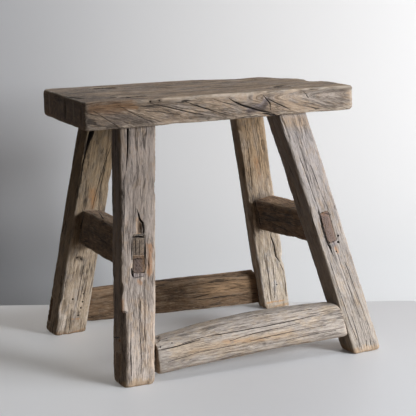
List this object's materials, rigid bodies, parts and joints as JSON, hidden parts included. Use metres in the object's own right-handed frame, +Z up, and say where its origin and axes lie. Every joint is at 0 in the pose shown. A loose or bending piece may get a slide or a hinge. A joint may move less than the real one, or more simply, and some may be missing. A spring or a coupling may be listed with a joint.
{
  "type": "wooden stool",
  "caption": "Rustic wooden stool: thick plank seat on splayed, squared legs, joined by stretchers with wedged through tenons.",
  "frame": {"origin": "on the floor, under the middle of the stool's outline seen from above", "axes": "+X to the right along the seat's length, +Y to the rear, +Z up"},
  "size_m": [0.4936, 0.3918, 0.45],
  "materials": {
    "plank": "bare weathered grey-brown elm, worn smooth",
    "leg": "bare weathered grey-tan elm with open checks",
    "stretcher": "bare weathered tan elm, greyer on its upper side",
    "wedge": "bare darkened hardwood end grain",
    "packing": "bare grey end grain"
  },
  "bodies": {
    "root": {"seat": "plank", "front_left_leg": "leg", "front_right_leg": "leg", "rear_right_leg": "leg", "rear_left_leg": "leg", "front_left_wedge": "wedge", "front_right_wedge": "wedge", "rear_right_wedge": "wedge", "rear_left_wedge": "wedge", "front_stretcher": "stretcher", "rear_stretcher": "stretcher", "left_stretcher": "stretcher", "right_stretcher": "stretcher", "front_left_packing": "packing"}
  },
  "joints": []
}
